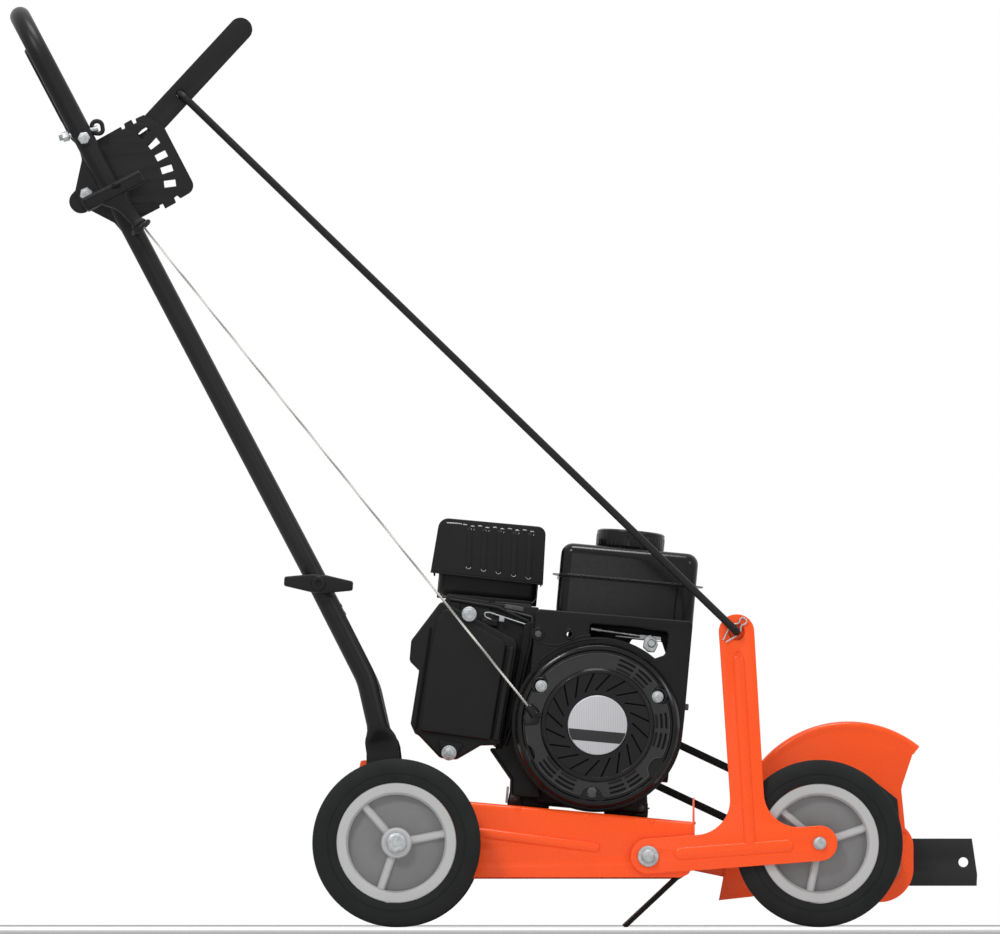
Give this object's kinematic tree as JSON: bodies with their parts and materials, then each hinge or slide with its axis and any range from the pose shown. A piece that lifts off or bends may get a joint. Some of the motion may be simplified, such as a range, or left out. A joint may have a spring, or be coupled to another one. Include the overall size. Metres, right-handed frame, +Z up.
{
  "type": "walk-behind lawn edger",
  "caption": "Walk-behind lawn edger: engine on a sloping deck, belt-driven blade under a guard, depth lever linked to a swinging front wheel arm, tube handle.",
  "frame": {"origin": "on the ground under the middle of the object's box", "axes": "+X forward, +Y to the machine's left, +Z up"},
  "size_m": [1.0472, 0.37, 0.989],
  "materials": {
    "orange_paint": "gloss",
    "black_paint": "satin",
    "heat_paint": "matt",
    "zinc_steel": "zinc plated",
    "cast_metal": "as cast",
    "black_plastic": "fine grain",
    "grey_plastic": "fine grain",
    "tyre_rubber": "matt",
    "black_rubber": "matt",
    "cord": "braided",
    "badge_plate": "satin"
  },
  "bodies": {
    "chassis": {"deck_frame": "orange_paint", "spindle_plate": "orange_paint", "spindle_housing": "cast_metal", "blade_guard": "orange_paint", "guard_skirt": "black_rubber", "rear_flap": "black_rubber", "rear_axle": "zinc_steel", "lower_handle_right": "black_paint", "lower_handle_left": "black_paint", "upper_handle": "black_paint", "quadrant_plate": "black_paint", "eye_bolt": "zinc_steel", "rope_guide": "black_paint", "starter_rope": "cord", "drive_belt": "black_rubber", "lever_pivot_bolt": "zinc_steel", "quadrant_bolt": "zinc_steel", "arm_pivot_bolt": "zinc_steel", "crankcase": "cast_metal", "cylinder": "cast_metal", "blower_housing": "black_paint", "recoil_cover": "black_plastic", "recoil_disc": "badge_plate", "muffler": "heat_paint", "muffler_shield": "heat_paint", "fuel_tank": "black_plastic", "carburettor": "cast_metal", "governor_rod": "zinc_steel", "air_filter_base": "black_plastic", "air_filter_cover": "black_plastic", "spark_plug": "black_rubber", "oil_cap": "black_plastic", "foot_bolt_right": "zinc_steel", "foot_bolt_left": "zinc_steel"},
    "wheel_rear_right": {"wheel_rear_right_tyre": "tyre_rubber", "wheel_rear_right_hub": "grey_plastic"},
    "wheel_rear_left": {"wheel_rear_left_tyre": "tyre_rubber", "wheel_rear_left_hub": "grey_plastic"},
    "wheel_front": {"wheel_front_tyre": "tyre_rubber", "wheel_front_hub": "grey_plastic"},
    "front_arm": {"front_arm": "orange_paint", "front_axle_bolt": "zinc_steel"},
    "depth_lever": {"depth_lever": "black_paint"},
    "link_rod": {"link_rod": "black_paint", "hairpin_clip": "zinc_steel"},
    "crankshaft": {"crankshaft": "zinc_steel", "drive_pulley": "zinc_steel", "flywheel": "cast_metal"},
    "spindle": {"spindle_shaft": "zinc_steel", "driven_pulley": "zinc_steel", "blade": "black_paint"},
    "operator_bail": {"operator_bail": "black_paint"},
    "starter_grip": {"starter_grip": "black_plastic"},
    "wing_knob_right": {"wing_knob_right": "black_plastic"},
    "wing_knob_left": {"wing_knob_left": "black_plastic"},
    "fuel_cap": {"fuel_cap": "black_plastic"},
    "filter_knob": {"filter_knob": "zinc_steel"}
  },
  "joints": [
    {"name": "rear_right_roll", "type": "hinge", "parent": "chassis", "child": "wheel_rear_right", "pos_m": [-0.1054, -0.161, 0.08873], "axis": [0, 1, 0], "continuous": true},
    {"name": "rear_left_roll", "type": "hinge", "parent": "chassis", "child": "wheel_rear_left", "pos_m": [-0.1054, 0.161, 0.08873], "axis": [0, 1, 0], "continuous": true},
    {"name": "front_roll", "type": "hinge", "parent": "front_arm", "child": "wheel_front", "pos_m": [0.3421, -0.106, 0.08873], "axis": [0, 1, 0], "continuous": true},
    {"name": "front_arm_swing", "type": "hinge", "parent": "chassis", "child": "front_arm", "pos_m": [0.1605, -0.1275, 0.075], "axis": [0, 1, 0], "range_deg": [0, 22.4]},
    {"name": "depth_lever_swing", "type": "hinge", "parent": "chassis", "child": "depth_lever", "pos_m": [-0.4381, -0.0825, 0.7821], "axis": [0, 1, 0], "range_deg": [0, 40]},
    {"name": "link_rod_hinge", "type": "hinge", "parent": "depth_lever", "child": "link_rod", "pos_m": [-0.3384, -0.0825, 0.89053], "axis": [0, 1, 0], "range_deg": [-43.5, 0]},
    {"name": "crank_spin", "type": "hinge", "parent": "chassis", "child": "crankshaft", "pos_m": [0.10699, 0, 0.21371], "axis": [0, 1, 0], "continuous": true},
    {"name": "spindle_spin", "type": "hinge", "parent": "chassis", "child": "spindle", "pos_m": [0.4092, 0.09, 0.0707], "axis": [0, 1, 0], "continuous": true},
    {"name": "bail_swing", "type": "hinge", "parent": "chassis", "child": "operator_bail", "pos_m": [-0.43975, 0, 0.83983], "axis": [0, 1, 0], "range_deg": [-28, 0]},
    {"name": "starter_pull", "type": "slide", "parent": "chassis", "child": "starter_grip", "axis": [-0.6285, -0.0053, 0.7778], "range_m": [0, 0.45], "stiffness_N_per_m": 20, "springref_m": -0.5, "deforming": ["starter_rope"]},
    {"name": "knob_right_turn", "type": "hinge", "parent": "chassis", "child": "wing_knob_right", "pos_m": [-0.1884, -0.14, 0.3631], "axis": [0, 1, 0], "continuous": true},
    {"name": "knob_left_turn", "type": "hinge", "parent": "chassis", "child": "wing_knob_left", "pos_m": [-0.1884, 0.14, 0.3631], "axis": [0, 1, 0], "continuous": true},
    {"name": "fuel_cap_turn", "type": "hinge", "parent": "chassis", "child": "fuel_cap", "pos_m": [0.14355, 0.008, 0.40589], "axis": [0.0906, 0, 0.9959], "continuous": true},
    {"name": "filter_knob_turn", "type": "hinge", "parent": "chassis", "child": "filter_knob", "pos_m": [-0.05047, -0.1, 0.18496], "axis": [0, 1, 0], "continuous": true}
  ],
  "couplings": [
    {"joint": "front_arm_swing", "follows": "depth_lever_swing", "ratio": 0.557},
    {"joint": "link_rod_hinge", "follows": "depth_lever_swing", "ratio": -1.084},
    {"joint": "spindle_spin", "follows": "crank_spin", "ratio": 1}
  ]
}
